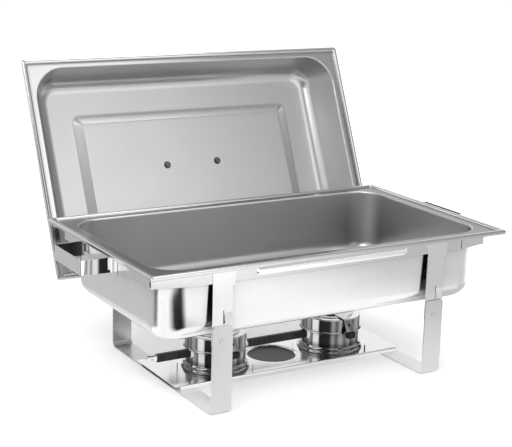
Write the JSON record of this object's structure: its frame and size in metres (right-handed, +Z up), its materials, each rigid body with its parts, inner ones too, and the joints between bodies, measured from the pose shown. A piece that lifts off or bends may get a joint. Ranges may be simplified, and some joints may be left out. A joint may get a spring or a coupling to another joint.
{
  "type": "chafing dish food warmer",
  "caption": "Folding steel chafing dish: rimmed water pan in a strip frame on folding legs, lid standing behind it, fuel burners on a shelf below.",
  "frame": {"origin": "on the table, under the middle of the whole object's plan", "axes": "+Z up, +X along the long side to the right, +Y from the front of the pan towards the lid"},
  "size_m": [0.648, 0.5112, 0.4253],
  "materials": {
    "pan_steel": "satin inside, polished outside",
    "lid_steel": "satin inside, polished outside",
    "leg_steel": "fine satin",
    "bracket_steel": "polished",
    "rail_steel": "polished",
    "handle_steel": "polished",
    "fastener_steel": "plain bright steel",
    "lid_handle_steel": "polished",
    "holder_steel": "satin",
    "shelf_steel": "polished",
    "burner_steel": "polished",
    "damper_steel": "satin",
    "knob_black": "black moulded",
    "bar_black": "dark enamel",
    "tip_chrome": "bright"
  },
  "bodies": {
    "frame": {"front_rail": "rail_steel", "left_handle": "handle_steel", "left_rail": "rail_steel", "leg_bracket_front_left": "bracket_steel", "leg_bracket_front_right": "bracket_steel", "leg_bracket_rear_left": "bracket_steel", "leg_bracket_rear_right": "bracket_steel", "leg_rivets": "fastener_steel", "lid_hook_left": "holder_steel", "lid_hook_right": "holder_steel", "lid_rest_bar": "holder_steel", "rail_splices": "rail_steel", "rear_rail": "rail_steel", "right_handle": "handle_steel", "right_rail": "rail_steel"},
    "left_leg": {"left_leg": "leg_steel"},
    "right_leg": {"right_leg": "leg_steel"},
    "fuel_shelf": {"fuel_shelf": "shelf_steel"},
    "burners": {"burner_cover_left": "burner_steel", "burner_cover_right": "burner_steel", "burner_cup_left": "burner_steel", "burner_cup_right": "burner_steel", "burner_grip": "bar_black", "burner_grip_tip": "tip_chrome", "burner_link_bar": "bar_black", "damper_pin_left": "fastener_steel", "damper_pin_right": "fastener_steel"},
    "damper_left": {"damper_disc_left": "damper_steel", "damper_lever_left": "damper_steel", "lever_knob_left": "knob_black", "lever_rivet_left": "fastener_steel"},
    "damper_right": {"damper_disc_right": "damper_steel", "damper_lever_right": "damper_steel", "lever_knob_right": "knob_black", "lever_rivet_right": "fastener_steel"},
    "water_pan": {"water_pan": "pan_steel", "water_pan_rim": "pan_steel"},
    "lid": {"lid": "lid_steel", "lid_rim": "lid_steel", "lid_handle": "lid_handle_steel", "lid_handle_screws": "fastener_steel", "lid_handle_washers": "fastener_steel", "lid_handle_nuts": "fastener_steel"}
  },
  "joints": [
    {"name": "left_leg_fold", "type": "hinge", "parent": "frame", "child": "left_leg", "pos_m": [-0.176, -0.08213, 0.103], "axis": [0, -1, 0], "range_deg": [0, 90]},
    {"name": "right_leg_fold", "type": "hinge", "parent": "frame", "child": "right_leg", "pos_m": [0.176, -0.08213, 0.091], "axis": [0, 1, 0], "range_deg": [0, 90]},
    {"name": "shelf_lift", "type": "slide", "parent": "frame", "child": "fuel_shelf", "axis": [0, 0, 1], "range_m": [0, 0.126]},
    {"name": "pan_lift", "type": "slide", "parent": "fuel_shelf", "child": "water_pan", "axis": [0, 0, 1], "range_m": [0, 0.15]},
    {"name": "burner_lift", "type": "slide", "parent": "fuel_shelf", "child": "burners", "axis": [0, 0, 1], "range_m": [0, 0.03]},
    {"name": "damper_left_turn", "type": "hinge", "parent": "burners", "child": "damper_left", "pos_m": [-0.1, -0.08413, 0.062], "axis": [0, 0, 1], "range_deg": [0, 60]},
    {"name": "damper_right_turn", "type": "hinge", "parent": "burners", "child": "damper_right", "pos_m": [0.1, -0.08413, 0.062], "axis": [0, 0, 1], "range_deg": [0, 60]},
    {"name": "lid_lift", "type": "slide", "parent": "frame", "child": "lid", "axis": [0, 0.4058, 0.914], "range_m": [0, 0.2]}
  ],
  "couplings": [
    {"joint": "right_leg_fold", "follows": "left_leg_fold", "ratio": 1},
    {"joint": "shelf_lift", "follows": "left_leg_fold", "m_per_rad": 0.08}
  ]
}
